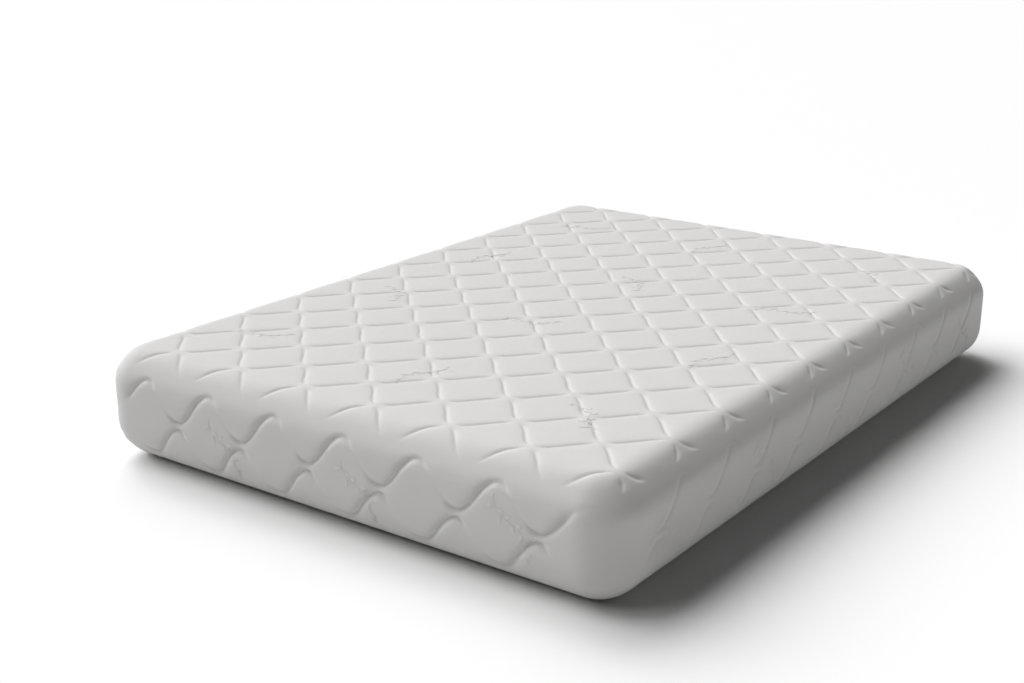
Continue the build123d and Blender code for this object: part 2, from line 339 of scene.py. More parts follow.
def mesh_object(name, points, faces):
    """A smooth-shaded mesh object in the scene."""
    mesh = bpy.data.meshes.new(name)
    mesh.from_pydata(np.asarray(points).reshape(-1, 3).tolist(), [], faces)
    mesh.validate()
    outward = bmesh.new()
    outward.from_mesh(mesh)
    bmesh.ops.recalc_face_normals(outward, faces=outward.faces)
    outward.to_mesh(mesh)
    outward.free()
    mesh.polygons.foreach_set("use_smooth", [True] * len(mesh.polygons))
    mesh.set_sharp_from_angle(angle=SHARP_FROM)
    piece = bpy.data.objects.new(name, mesh)
    bpy.context.scene.collection.objects.link(piece)
    return piece


def grid_faces(rows, columns, closed, hole=None):
    """Quads of a grid, as indices (row, column) of their corners, less those in the hole."""
    i, j = np.meshgrid(np.arange(rows - 1), np.arange(columns if closed else columns - 1), indexing="ij")
    i, j = i.ravel(), j.ravel()
    if hole:
        (row_low, row_high), (col_low, col_high) = hole
        keep = ~((i >= row_low) & (i < row_high) & (j >= col_low) & (j < col_high))
        i, j = i[keep], j[keep]
    return np.stack([i, j, i, (j + 1) % columns, i + 1, (j + 1) % columns, i + 1, j], -1).reshape(-1, 4, 2)


def rim_runs(rows, columns, step, closed, hole):
    """The edges of a grid as runs of step + 1 corners, with the sheet on their left."""
    def box_runs(row_span, col_span, with_ends):
        for j in range(*col_span, step):
            yield [(row_span[0], (j + k) % columns) for k in range(step + 1)]
            yield [(row_span[1], (j + k) % columns) for k in range(step, -1, -1)]
        for i in range(*row_span, step) if with_ends else ():
            yield [(i + k, col_span[0]) for k in range(step, -1, -1)]
            yield [(i + k, col_span[1]) for k in range(step + 1)]

    runs = list(box_runs((0, rows - 1), (0, columns if closed else columns - 1), not closed))
    if hole:
        runs += [run[::-1] for run in box_runs(*hole, True)]
    return runs


def layer(name, points, normals, outer, inner, steps, closed=False, hole=None):
    """A closed piece between two depths below a grid of points.

    outer and inner are depths. steps are how many grid cells one face spans on the outer side,
    and how many of those one face spans on the inner side.
    """
    fine, coarse = steps
    outer, inner = (np.broadcast_to(depth, points.shape[:2])[::fine, ::fine] for depth in (outer, inner))
    points, normals = points[::fine, ::fine], normals[::fine, ::fine]
    if hole:
        hole = tuple((low // fine, high // fine) for low, high in hole)
    rows, columns = points.shape[:2]
    outside = points - normals * outer[..., None]
    inside = (points - normals * inner[..., None])[::coarse, ::coarse]
    inner_columns = inside.shape[1]
    base = rows * columns

    def out_index(i, j):
        return int(i * columns + j)

    def in_index(i, j):
        return int(base + (i // coarse) * inner_columns + (j // coarse) % inner_columns)

    faces = [[out_index(i, j) for i, j in quad] for quad in grid_faces(rows, columns, closed, hole)]
    inner_hole = tuple((low // coarse, high // coarse) for low, high in hole) if hole else None
    for quad in grid_faces(inside.shape[0], inner_columns, closed, inner_hole):
        faces.append([int(base + i * inner_columns + j) for i, j in quad[::-1]])
    for run in rim_runs(rows, columns, coarse, closed, hole):
        (i0, j0), (i1, j1) = run[0], run[-1]
        faces.append([out_index(i, j) for i, j in run[::-1]] + [in_index(i0, j0), in_index(i1, j1)])
    vertices = np.concatenate([outside.reshape(-1, 3), inside.reshape(-1, 3)])
    return mesh_object(name, vertices, faces)


def panel_grid(reach, lines):
    """Flat coordinates of a panel's mesh: columns along X, rows that follow the given lines."""
    corner = np.linspace(0, math.pi / 2, 19)[1:]
    edge = CORE_X + reach * np.sin(corner)
    columns = np.concatenate([-edge[::-1], np.linspace(-CORE_X, CORE_X, PANEL_COLUMNS + 1), edge])
    beyond = np.maximum(np.abs(columns) - CORE_X, 0)
    end = CORE_Y + np.sqrt(np.maximum(reach**2 - beyond**2, 0))
    anchors = [-end] + [line(columns) for line in lines] + [end]
    rows = between(kept_apart(anchors, LEAST_ROW_GAP))
    return np.broadcast_to(columns, rows.shape), rows


def border_grid(seam_gap, slot_half, slot_end):
    """Flat coordinates of the border's mesh, with the zip's slot on its own grid lines."""
    side = np.linspace(0, 2 * CORE_Y, SIDE_COLUMNS + 1)[:-1]
    end_gap = (CORE_Y - slot_end) / 3
    slot = np.linspace(CORE_Y - slot_end, CORE_Y + slot_end, SLOT_COLUMNS + 1)
    zip_side = np.concatenate([[0, end_gap, 2 * end_gap], slot, 2 * CORE_Y - np.array([2, 1]) * end_gap])
    spans = []
    for k, (length, _, _, arc) in enumerate(SIDES):
        if arc:
            steps = np.linspace(0, length, CORNER_COLUMNS + 1)[:-1]
        elif k == 2:
            steps = side
        elif k == 6:
            steps = zip_side
        else:
            steps = np.linspace(0, length, round(PANEL_COLUMNS * length / (2 * CORE_X)) + 1)[:-1]
        spans.append(SIDE_STARTS[k] + steps)
    p = np.concatenate(spans)
    first = int(np.argmin(np.abs(p - (ZIP_SIDE + CORE_Y - slot_end))))
    along = pattern_along(p)
    row_one, row_two = (wave(along, centre, phase)[0] for centre, phase in BORDER_ROWS)
    off_zip = np.maximum(ZIP_SIDE - p, p - ZIP_SIDE - 2 * CORE_Y)
    at_zip = 1 - smooth(off_zip, 0, ARC_CORNER)
    row_two = row_two * (1 - at_zip) + ZIP_S * at_zip
    top_edge, base_edge = TOP_SEAM_S + seam_gap, BASE_SEAM_S - seam_gap
    anchors = [np.full(p.shape, top_edge), row_one, row_two, np.full(p.shape, base_edge)]
    s = between(anchors)
    middle = 2 * BAND
    for sign in (-1, 1):
        ladder = [middle + sign * k for k in range(HALF_BAND + 1)]
        away = np.abs(s[ladder] - s[middle])
        half, edge = away[-1], away[SLOT_ROW]
        inside = away * slot_half / edge
        outside = slot_half + (away - edge) * (half - slot_half) / (half - edge)
        moved = np.where(np.arange(HALF_BAND + 1)[:, None] <= SLOT_ROW, inside, outside)
        s[ladder] = s[middle] + sign * (away * (1 - at_zip) + moved * at_zip)
    hole = ((middle - SLOT_ROW, middle + SLOT_ROW), (first, first + SLOT_COLUMNS))
    return np.broadcast_to(p, s.shape), s, hole


def finish_piece(piece, material, nodes, body="root"):
    """Gives the piece its material and its body, and hides the CAD nodes that it stands for."""
    piece.data.materials.append(material)
    if nodes:
        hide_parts(*nodes)
    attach(piece, body)
    return piece


# -------------------- materials
def add_node(tree, kind, values=None, fed_by=None, **settings):
    """A shader node with its settings, the values of its inputs and the outputs that feed them."""
    node = tree.nodes.new("ShaderNode" + kind)
    for setting, value in settings.items():
        setattr(node, setting, value)
    for socket, value in (values or {}).items():
        node.inputs[socket].default_value = value
    for socket, output in (fed_by or {}).items():
        tree.links.new(output, node.inputs[socket])
    return node


def new_material(name, colour, roughness, sheen=0.0):
    """A Principled material with its uniform values on its own sockets."""
    material = bpy.data.materials.new(name)
    material.use_nodes = True
    shader = material.node_tree.nodes["Principled BSDF"]
    shader.inputs["Base Color"].default_value = (*colour, 1)
    shader.inputs["Roughness"].default_value = roughness
    shader.inputs["Specular IOR Level"].default_value = 0.25
    shader.inputs["Sheen Weight"].default_value = sheen
    shader.inputs["Sheen Roughness"].default_value = 0.5
    return material, material.node_tree, shader


def emboss(tree, shader, height, strength, distance, over=None):
    """Fine bumps on the shader's surface, on top of another bump node's if there is one."""
    fed_by = {"Height": height, "Normal": over.outputs["Normal"]} if over else {"Height": height}
    bump = add_node(tree, "Bump", {"Strength": strength, "Distance": distance}, fed_by)
    tree.links.new(bump.outputs["Normal"], shader.inputs["Normal"])


def tint(tree, shader, where, colour, scale, spread):
    """A little soft variation of the base colour."""
    cloud = add_node(tree, "TexNoise", {"Scale": scale, "Detail": 4}, {"Vector": where})
    darker = (*[c * (1 - spread) for c in colour], 1)
    lighter = (*[min(1, c * (1 + spread)) for c in colour], 1)
    shades, factor = {"A": darker, "B": lighter}, {"Factor": cloud.outputs["Fac"]}
    mixed = add_node(tree, "Mix", shades, factor, data_type="RGBA")
    tree.links.new(mixed.outputs["Result"], shader.inputs["Base Color"])


def cloth_material(name, colour, pitch, bump, mottle, sheen=0.1):
    """Knitted or woven cloth: a fine ribbed weave, soft fibre noise and a little colour variation."""
    material, tree, shader = new_material(name, colour, 0.9, sheen)
    where = add_node(tree, "TexCoord").outputs["Object"]
    rib = {"Scale": 1 / pitch / RIBS_PER_UNIT, "Distortion": 1.5, "Detail": 1.0}
    fibre = {"Scale": 0.4 / pitch, "Detail": 6}
    patterns = [add_node(tree, "TexWave", rib, {"Vector": where}, bands_direction=axis) for axis in "XYZ"]
    patterns.append(add_node(tree, "TexNoise", fibre, {"Vector": where}))
    total = patterns[0].outputs["Fac"]
    for pattern in patterns[1:]:
        both = {0: total, 1: pattern.outputs["Fac"]}
        total = add_node(tree, "Math", fed_by=both, operation="ADD").outputs[0]
    emboss(tree, shader, total, bump, 0.4 * MM)
    tint(tree, shader, where, colour, 7, mottle)
    return material


def foam_material(name, colour, cell):
    """Cut open-cell foam: small round pores in two sizes, and a slightly uneven colour."""
    material, tree, shader = new_material(name, colour, 0.95)
    where = add_node(tree, "TexCoord").outputs["Object"]
    fine, coarse = (
        add_node(tree, "TexVoronoi", {"Scale": 1 / size}, {"Vector": where}).outputs["Distance"]
        for size in (cell, cell * 2.7)
    )
    pores = add_node(tree, "Math", fed_by={0: fine, 1: coarse}, operation="MULTIPLY")
    emboss(tree, shader, pores.outputs[0], 0.7, cell / 2)
    tint(tree, shader, where, colour, 30, 0.06)
    return material


def hard_material(name, colour, roughness, metallic, grain):
    """Metal or plastic, with fine brushed grain and uneven polish."""
    material, tree, shader = new_material(name, colour, roughness)
    shader.inputs["Metallic"].default_value = metallic
    shader.inputs["Specular IOR Level"].default_value = 0.5
    where = add_node(tree, "TexCoord").outputs["Object"]
    scratch = add_node(tree, "TexNoise", {"Scale": 1 / grain, "Detail": 5}, {"Vector": where}).outputs["Fac"]
    gloss = {"To Min": roughness * 0.7, "To Max": min(1, roughness * 1.4)}
    polish = add_node(tree, "MapRange", gloss, {"Value": scratch})
    tree.links.new(polish.outputs["Result"], shader.inputs["Roughness"])
    emboss(tree, shader, scratch, 0.15, grain / 10)
    tint(tree, shader, where, colour, 60, 0.04)
    return material


def dotted_material(name, colour, pitch, dots, dot_pitch):
    """Plain base cloth with rows of small raised grip dots on it."""
    material = cloth_material(name, colour, pitch, 0.5, 0.03)
    tree = material.node_tree
    shader = tree.nodes["Principled BSDF"]
    plain, weave = (shader.inputs[socket].links[0] for socket in ("Base Color", "Normal"))
    plain, weave = plain.from_socket, weave.from_node
    where = add_node(tree, "TexCoord").outputs["Object"]
    rows = {"Scale": 1 / dot_pitch, "Randomness": 0.0}
    spots = add_node(tree, "TexVoronoi", rows, {"Vector": where}, voronoi_dimensions="2D")
    edge = {"From Min": 0.24, "From Max": 0.18}
    dot = add_node(tree, "MapRange", edge, {"Value": spots.outputs["Distance"]}).outputs["Result"]
    coloured = add_node(tree, "Mix", {"B": (*dots, 1)}, {"Factor": dot, "A": plain}, data_type="RGBA")
    tree.links.new(coloured.outputs["Result"], shader.inputs["Base Color"])
    emboss(tree, shader, dot, 0.8, 0.5 * MM, over=weave)
    return material


RIBS_PER_UNIT = 3.18  # a wave texture of scale 1 has this many ribs in a metre
LOOKS = {
    "quilted_knit": cloth_material("quilted_knit", (0.585, 0.58, 0.571), 1.6 * MM, 0.25, 0.012),
    "base_cloth": dotted_material("base_cloth", (0.55, 0.55, 0.54), 1.2 * MM, (0.42, 0.42, 0.42), 9 * MM),
    "fibre_wadding": cloth_material("fibre_wadding", (0.8, 0.8, 0.79), 4 * MM, 0.8, 0.05),
    "backing_cloth": cloth_material("backing_cloth", (0.7, 0.7, 0.69), 2.4 * MM, 0.4, 0.03),
    "seam_thread": cloth_material("seam_thread", (0.62, 0.615, 0.605), 0.5 * MM, 0.05, 0.03),
    "barrier_knit": cloth_material("barrier_knit", (0.76, 0.76, 0.75), 1.2 * MM, 0.6, 0.02),
    "memory_foam": foam_material("memory_foam", (0.80, 0.76, 0.64), 0.9 * MM),
    "transition_foam": foam_material("transition_foam", (0.66, 0.72, 0.76), 1.3 * MM),
    "support_foam": foam_material("support_foam", (0.78, 0.78, 0.76), 1.7 * MM),
    "glue": hard_material("glue", (0.72, 0.66, 0.46), 0.45, 0.0, 2 * MM),
    "zip_tape": cloth_material("zip_tape", (0.62, 0.615, 0.60), 0.7 * MM, 0.9, 0.02),
    "zip_coil": hard_material("zip_coil", (0.66, 0.655, 0.64), 0.35, 0.0, 0.4 * MM),
    "zip_metal": hard_material("zip_metal", (0.60, 0.60, 0.61), 0.3, 1.0, 0.5 * MM),
    "label_cloth": cloth_material("label_cloth", (0.82, 0.82, 0.81), 0.5 * MM, 0.3, 0.01),
}


# -------------------- cover
# How many grid cells one face spans on a layer's outer side, and how many of those on its inner side
KNIT_STEPS = (1, 2)
PANEL_STEPS = (2, 3)
BORDER_STEPS = (2, 1)


def cover_piece(name, slot, node, surface, outer, inner, steps, **options):
    """One layer of one of the cover's panels, between two depths below its face."""
    piece = layer(name, *surface, outer, inner, steps, **options)
    return finish_piece(piece, LOOKS[slot], [node])


def pad(*layer_args, **options):
    """A layer of the cover that is padded out."""
    cover_piece(*layer_args, **options)


def cloth(*layer_args, flat, rests_on="barrier_sock", **options):
    """A layer of the cover that is one sheet of cloth."""
    cover_piece(*layer_args, **options)


seam_reach = TOP_SEAM_S + PLAN_RADIUS - TOP_RADIUS
base_reach = PLAN_RADIUS - BASE_RADIUS + BASE_RADIUS * math.asin(1 - BASE_SEAM_INSET / BASE_RADIUS)
top_lines = [lambda x, row=row: wave(x, *row)[0] for row in TOP_ROWS]
base_lines = [lambda x, y=y: np.full(x.shape, y) for y in np.linspace(-CORE_Y, CORE_Y, 9)]
top_flat = (2 * (CORE_X + seam_reach), 2 * (CORE_Y + seam_reach))
base_flat = (2 * (CORE_X + base_reach), 2 * (CORE_Y + base_reach))

u, v = panel_grid(seam_reach, top_lines)
face, dips = drape(u, v), top_relief(u, v)
pad("top_panel", "quilted_knit", "top_panel_knit", face, dips, dips + KNIT[1], KNIT_STEPS)

u, v = panel_grid(seam_reach - SEAM_GAP, top_lines)
face, dips = drape(u, v), top_relief(u, v)
low, high = dips + WADDING[0], dips / 4 + WADDING[1]
pad("top_wadding", "fibre_wadding", "top_panel_wadding", face, low, high, PANEL_STEPS)
low, high = dips / 4 + BACKING[0], BACKING[1]
cloth("top_backing", "backing_cloth", "top_panel_backing", face, low, high, PANEL_STEPS, flat=top_flat)

face = drape(*panel_grid(base_reach, base_lines), underside=True)
sheet = {"flat": base_flat, "rests_on": "base_wadding"}
cloth("base_panel", "base_cloth", "base_panel_knit", face, *KNIT, KNIT_STEPS, **sheet)
face = drape(*panel_grid(base_reach - SEAM_GAP, base_lines), underside=True)
pad("base_wadding", "fibre_wadding", "base_panel_wadding", face, *WADDING, PANEL_STEPS)
cloth("base_backing", "backing_cloth", "base_panel_backing", face, *BACKING, PANEL_STEPS, flat=base_flat)

p, s, hole = border_grid(0, OPENING_HALF, OPENING_END)
face, dips = wrap_round(p, s), border_relief(p, s)
pad("border", "quilted_knit", "border_knit", face, dips, dips + KNIT[1], KNIT_STEPS, closed=True, hole=hole)

p, s, hole = border_grid(SEAM_GAP, RECESS_HALF, RECESS_END)
face, dips = wrap_round(p, s), border_relief(p, s)
options = {"closed": True, "hole": hole}
low, high = dips + WADDING[0], WADDING[1]
pad("side_wadding", "fibre_wadding", "border_wadding", face, low, high, BORDER_STEPS, **options)
options["flat"] = (BASE_SEAM_S - TOP_SEAM_S, PERIMETER)
cloth("side_backing", "backing_cloth", "border_backing", face, *BACKING, BORDER_STEPS, **options)


# -------------------- sock and foam
def inset_at(z, depth):
    """How far in from the outline the block's surface is at a height, this far below the cover."""
    top_turn = np.clip((z - HEIGHT + TOP_RADIUS) / (TOP_RADIUS - depth), 0, 1)
    base_turn = np.clip((BASE_RADIUS - z) / (BASE_RADIUS - depth), 0, 1)
    top_in = (TOP_RADIUS - depth) * (1 - math.sqrt(1 - top_turn**2))
    base_in = (BASE_RADIUS - depth) * (1 - math.sqrt(1 - base_turn**2))
    return depth + top_in + base_in


RING_P = np.concatenate([
    start + np.linspace(0, side[0], 15 if side[3] else 41)[:-1] for side, start in zip(SIDES, SIDE_STARTS)
])
CAP_INSET = PLAN_RADIUS - 4 * MM  # past this the flat faces are closed by one face


def ring(inset, z, roughness=0.0):
    """One level of a foam block or of the sock, with a hand-cut edge that wanders a little."""
    point, facing = outline(RING_P)
    turn = 2 * math.pi * RING_P / PERIMETER
    wander = roughness * (np.sin(37 * turn + 90 * z) + np.sin(23 * turn - 60 * z)) / 2
    xy = point - facing * (inset + roughness + wander)[:, None] if roughness else point - facing * inset
    return np.concatenate([xy, np.full((len(RING_P), 1), z)], -1)


def ring_faces(count):
    """Faces of a closed stack of rings."""
    n = len(RING_P)
    faces = [list(range(n))[::-1], list(range((count - 1) * n, count * n))]
    for k in range(count - 1):
        low, high = k * n, (k + 1) * n
        faces += [[low + j, low + (j + 1) % n, high + (j + 1) % n, high + j] for j in range(n)]
    return faces


def level_rings(z_low, z_high, depth, roughness=0.0):
    """Rings from the middle of the lower face, up the side and to the middle of the upper face."""
    heights = np.linspace(0, 1, 25)
    heights = z_low + (z_high - z_low) * (1 - np.cos(math.pi * heights)) / 2
    insets = [inset_at(z, depth) for z in heights]
    lower = [CAP_INSET + (insets[0] - CAP_INSET) * t for t in (0, 0.35, 0.7, 0.9)]
    upper = [CAP_INSET + (insets[-1] - CAP_INSET) * t for t in (0.9, 0.7, 0.35, 0)]
    levels = [(i, z_low) for i in lower] + list(zip(insets, heights)) + [(i, z_high) for i in upper]
    return [ring(inset, z, roughness) for inset, z in levels]


for name, slot in (
    ("memory_foam_layer", "memory_foam"),
    ("transition_foam_layer", "transition_foam"),
    ("support_foam_core", "support_foam"),
):
    low, high = (corner.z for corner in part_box(name))
    rings = level_rings(low, high, FOAM_DEPTH, 0.15 * MM)
    foam = mesh_object(name.split("_")[0] + "_foam_slab", np.concatenate(rings), ring_faces(len(rings)))
    finish_piece(foam, LOOKS[slot], [name])


def joined(parts):
    """Several meshes' points and faces as one."""
    points, faces, total = [], [], 0
    for part_points, part_faces in parts:
        points.append(part_points)
        faces += [[total + index for index in face] for face in part_faces]
        total += len(part_points)
    return np.concatenate(points), faces


def cut_skin(depth, seam_y, keep_head):
    """One skin of the sock on one side of its end seam, and its open edge in order round."""
    rings = level_rings(depth, HEIGHT - depth, depth)
    skin = bmesh.new()
    for point in np.concatenate(rings):
        skin.verts.new(point)
    skin.verts.ensure_lookup_table()
    for face in ring_faces(len(rings)):
        skin.faces.new([skin.verts[index] for index in face])
    bmesh.ops.bisect_plane(
        skin, geom=skin.verts[:] + skin.edges[:] + skin.faces[:], plane_co=(0, seam_y, 0), plane_no=(0, 1, 0),
        clear_outer=not keep_head, clear_inner=keep_head,
    )
    skin.verts.index_update()
    points = np.array([vertex.co[:] for vertex in skin.verts])
    faces = [[vertex.index for vertex in face.verts] for face in skin.faces]
    rim = [vertex.index for vertex in skin.verts if vertex.is_boundary]
    rim.sort(key=lambda index: math.atan2(points[index][2] - HEIGHT / 2, points[index][0] * HEIGHT / HALF_X))
    skin.free()
    return points, faces, rim


def sock_part(name, node, keep_head):
    """The part of the sock before or behind its end seam."""
    seam_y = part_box("barrier_sock_end_panel")[0].y
    outer, inner = (cut_skin(depth, seam_y, keep_head) for depth in SOCK)
    points, faces = joined([outer[:2], inner[:2]])
    rim, back = outer[2], [len(outer[0]) + index for index in inner[2]]
    for k in range(len(rim)):
        faces.append([rim[k - 1], rim[k], back[k], back[k - 1]])
    return finish_piece(mesh_object(name, points, faces), LOOKS["barrier_knit"], [node])


sock = sock_part("sock", "barrier_sock", False)
sock_end = sock_part("sock_end", "barrier_sock_end_panel", True)


# -------------------- zip
def zip_points(y, z, depth):
    """Points beside the zip, from their place along Y, height above its centre line and depth."""
    return np.stack(np.broadcast_arrays(depth - HALF_X, y, ZIP_Z + z), -1)


def tube(rings, loop=False):
    """Points and faces of a tube through rings of equal size: closed at its ends, or a loop."""
    count, sides = rings.shape[:2]
    faces = []
    for k in range(count if loop else count - 1):
        low, high = k * sides, (k + 1) % count * sides
        faces += [[low + j, low + (j + 1) % sides, high + (j + 1) % sides, high + j] for j in range(sides)]
    if not loop:
        faces += [list(range(sides))[::-1], list(range((count - 1) * sides, count * sides))]
    return rings.reshape(-1, 3), faces


ROUND = np.linspace(0, 2 * math.pi, 17)[:-1] + math.pi / 16  # angles round a strip's or a lip's section
ZIP_STEPS = 340  # along the zip's whole length


def strip(y_span, z_span, depths, steps, round_by):
    """A flat strip along the zip with rounded edges."""
    half_z, half_d = (z_span[1] - z_span[0]) / 2, (depths[1] - depths[0]) / 2
    z = (half_z - round_by) * np.sign(np.cos(ROUND)) + round_by * np.cos(ROUND)
    d = (half_d - round_by) * np.sign(np.sin(ROUND)) + round_by * np.sin(ROUND)
    y = np.linspace(*y_span, steps + 1)[:, None]
    return tube(zip_points(y, sum(z_span) / 2 + z, sum(depths) / 2 + d))


def zip_piece(name, slot, parts, nodes, body="root"):
    """One piece of the zip from its meshes."""
    piece = mesh_object(name, *joined(parts))
    return finish_piece(piece, LOOKS[slot], nodes, body)


def extent(node):
    """A zip node's span along Y, its heights from the zip's centre line and its depths."""
    low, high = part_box(node)
    return (low.y, high.y), (low.z - ZIP_Z, high.z - ZIP_Z), (low.x + HALF_X, high.x + HALF_X)


COIL_PITCH = 2.0 * MM
COIL_WIRE = 0.36 * MM  # radius of the coil's wire
COIL_SQUARENESS = 0.7  # 1 gives round turns, and less gives flatter ones

for place in ("lower", "upper"):
    y_span, z_span, depths = extent("zip_tape_" + place)
    band = strip(y_span, z_span, depths, ZIP_STEPS, 0.2 * MM)
    tape = zip_piece("tape_" + place, "zip_tape", [band], ["zip_tape_" + place])

    # the coil: one wire wound round and round, each turn sewn to the tape's edge
    y_span, z_span, depths = extent("zip_coil_" + place)
    turns = int((y_span[1] - y_span[0] - 2 * COIL_WIRE) / COIL_PITCH)
    angle = np.linspace(0, 2 * math.pi * turns, 12 * turns + 1)
    along = y_span[0] + COIL_WIRE + COIL_PITCH * angle / (2 * math.pi)
    half_z, half_d = ((span[1] - span[0]) / 2 - COIL_WIRE for span in (z_span, depths))
    out = np.array([np.cos(angle), np.sin(angle)])
    across, deep = np.sign(out) * np.abs(out) ** COIL_SQUARENESS
    centre = zip_points(along, sum(z_span) / 2 + half_z * across, sum(depths) / 2 + half_d * deep)
    radial = np.stack([out[1], np.zeros(len(angle)), out[0]], -1)
    lengthwise = np.array([0, 1.0, 0])
    around = np.linspace(0, 2 * math.pi, 6)[:-1, None]
    rings = centre[:, None] + COIL_WIRE * (radial[:, None] * np.cos(around) + lengthwise * np.sin(around))
    zip_piece("coil_" + place, "zip_coil", [tube(rings)], ["zip_coil_" + place])

# the knit turned in round the opening: a rounded rim swept round a long, narrow loop
knit_half = (LIP_HALF - OPENING_HALF) / 2
loop_z, loop_y = (OPENING_HALF + LIP_HALF) / 2, (OPENING_END + LIP_END) / 2
lip_depths = (0.25 * MM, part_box("zip_tape_lower")[0].x + HALF_X)
rim_out = np.cos(ROUND) * knit_half
rim_in = sum(lip_depths) / 2 + (lip_depths[1] - lip_depths[0]) / 2 * np.clip(1.25 * np.sin(ROUND), -1, 1)
long_y = np.linspace(-loop_y, loop_y, ZIP_STEPS + 1)
short_z = np.linspace(-loop_z, loop_z, 9)
path = [(y, -loop_z, 0, -1) for y in long_y] + [(loop_y, z, 1, 0) for z in short_z[1:-1]]
path += [(y, loop_z, 0, 1) for y in long_y[::-1]] + [(-loop_y, z, -1, 0) for z in short_z[-2:0:-1]]
rings = np.array([
    zip_points(y + out_y * rim_out, z + out_z * rim_out, rim_in) for y, z, out_y, out_z in path
])
zip_piece("zip_lip", "quilted_knit", [tube(rings, loop=True)], None)


def taper(t):
    """A stitch's width along its length, as a share of the thread's."""
    return np.sqrt(np.sin(math.pi * np.clip(t, 0.06, 0.94)))


def stitch(start, end, radius):
    """One short stitch: a thread that rises from the cloth at one end and dips in at the other."""
    t = np.linspace(0, 1, 6)[:, None]
    arch = np.sin(math.pi * t) * radius * 0.9 - radius * 0.25
    turn = np.linspace(0, 2 * math.pi, 7)[:-1]
    start, end = np.array(start), np.array(end)
    middle = start[:2] + (end[:2] - start[:2]) * t
    depth = start[2] + (end[2] - start[2]) * t - arch
    along = (end[:2] - start[:2]) / np.linalg.norm(end[:2] - start[:2])
    width = radius * taper(t)
    y = middle[:, :1] - along[1] * width * np.cos(turn)
    z = middle[:, 1:] + along[0] * width * np.cos(turn)
    return tube(zip_points(y, z, depth - width * 0.7 * np.sin(turn)))


def stitch_row(start, end, pitch, radius, cover):
    """A straight row of stitches on the -X side, from one place along Y and height to another."""
    start, end = np.array(start), np.array(end)
    count = max(1, round(np.linalg.norm(end - start) / pitch))
    row = []
    for k in range(count):
        a, b = (start + (end - start) * (k + part) / count for part in (0.08, 0.92))
        row.append(stitch((*a, cover(*a)), (*b, cover(*b)), radius))
    return row


def border_depth(y, z):
    """Depth of the quilted border's face at a place on the flat of the -X side."""
    p = np.array([ZIP_SIDE + CORE_Y - y])
    return float(border_relief(p, np.array([ZIP_S - z]))[0])


def stitched_box(y_span, z_span, pitch, radius, cover):
    """Four rows of stitches round a rectangle: along its lower and upper edges, then its two ends."""
    (y0, y1), (z0, z1) = y_span, z_span
    edges = (((y0, z0), (y1, z0)), ((y0, z1), (y1, z1)), ((y0, z0), (y0, z1)), ((y1, z0), (y1, z1)))
    return [part for start, end in edges for part in stitch_row(start, end, pitch, radius, cover)]


TOPSTITCH_OUT = 4.5 * MM  # from the edge of the zip's opening
edge, edge_y = OPENING_HALF + TOPSTITCH_OUT, OPENING_END + TOPSTITCH_OUT
rows = stitched_box((-edge_y, edge_y), (-edge, edge), 3.4 * MM, 0.35 * MM, border_depth)
zip_piece("zip_topstitch", "seam_thread", rows, None)

for end in ("head", "foot"):
    y_span, z_span, depths = extent("zip_end_tab_" + end)
    node = "zip_end_tab_" + end
    tab = zip_piece("end_tab_" + end, "zip_tape", [strip(y_span, z_span, depths, 10, 0.15 * MM)], [node])
    cross = []
    for y in (y_span[0] + 1.2 * MM, y_span[1] - 1.2 * MM):
        start, stop = (y, z_span[0] + 1 * MM), (y, z_span[1] - 1 * MM)
        cross += stitch_row(start, stop, 2.5 * MM, 0.3 * MM, lambda *_: depths[0])
    zip_piece("end_stitch_" + end, "seam_thread", cross, None)

y_span, z_span, depths = extent("zip_guard_flap")
band = strip(y_span, z_span, depths, ZIP_STEPS, 0.3 * MM)
flap = zip_piece("guard_flap", "zip_tape", [band], ["zip_guard_flap"])


# -------------------- embroidered sprigs, tone on tone
SPRIG_LENGTH = 150 * MM
SPRIG_SWING = 12 * MM  # how far the stem bends to either side
SPRIG_BEND = 2.4 * math.pi
STEM_STITCHES = 12
LONGEST_LEAF = 27 * MM
LEAF_LEAN = math.radians(48)
LANE_GAP = 1.5 * MM  # between the rows of stitches that fill a leaf
THREAD_RADIUS = 1.0 * MM
THREAD_FLATNESS = 0.32
THREAD_RISE = (0.12, 0.35)  # of the radius: at a stitch's ends, and how much more in its middle
STITCH_SAMPLES = 6


def sprig(at, angle):
    """Start and end of each stitch of a small leafy sprig, in a panel's flat coordinates."""
    run = np.linspace(0, 1, STEM_STITCHES + 1)
    stem = np.stack([SPRIG_LENGTH * (run - 0.5), SPRIG_SWING * np.sin(SPRIG_BEND * run)], -1)
    pairs = [(stem[k], stem[k + 1]) for k in range(STEM_STITCHES)]
    for k in range(1, STEM_STITCHES):
        reach = LONGEST_LEAF - 1.3 * MM * k
        side = 1 if k % 2 else -1
        lean = LEAF_LEAN * side + 0.8 * math.cos(SPRIG_BEND * run[k])
        along = np.array([math.cos(lean), math.sin(lean)])
        out = np.array([-along[1], along[0]])
        for lane in range(-2, 3):
            start = stem[k] + along * (2 + abs(lane)) * MM + out * lane * LANE_GAP
            end = stem[k] + along * (reach - abs(lane) * 2.8 * MM) + out * lane * LANE_GAP
            pairs.append((start, end))
    pairs = np.array(pairs)
    turn = np.array([[math.cos(angle), math.sin(angle)], [-math.sin(angle), math.cos(angle)]])
    return pairs @ turn + np.array(at)


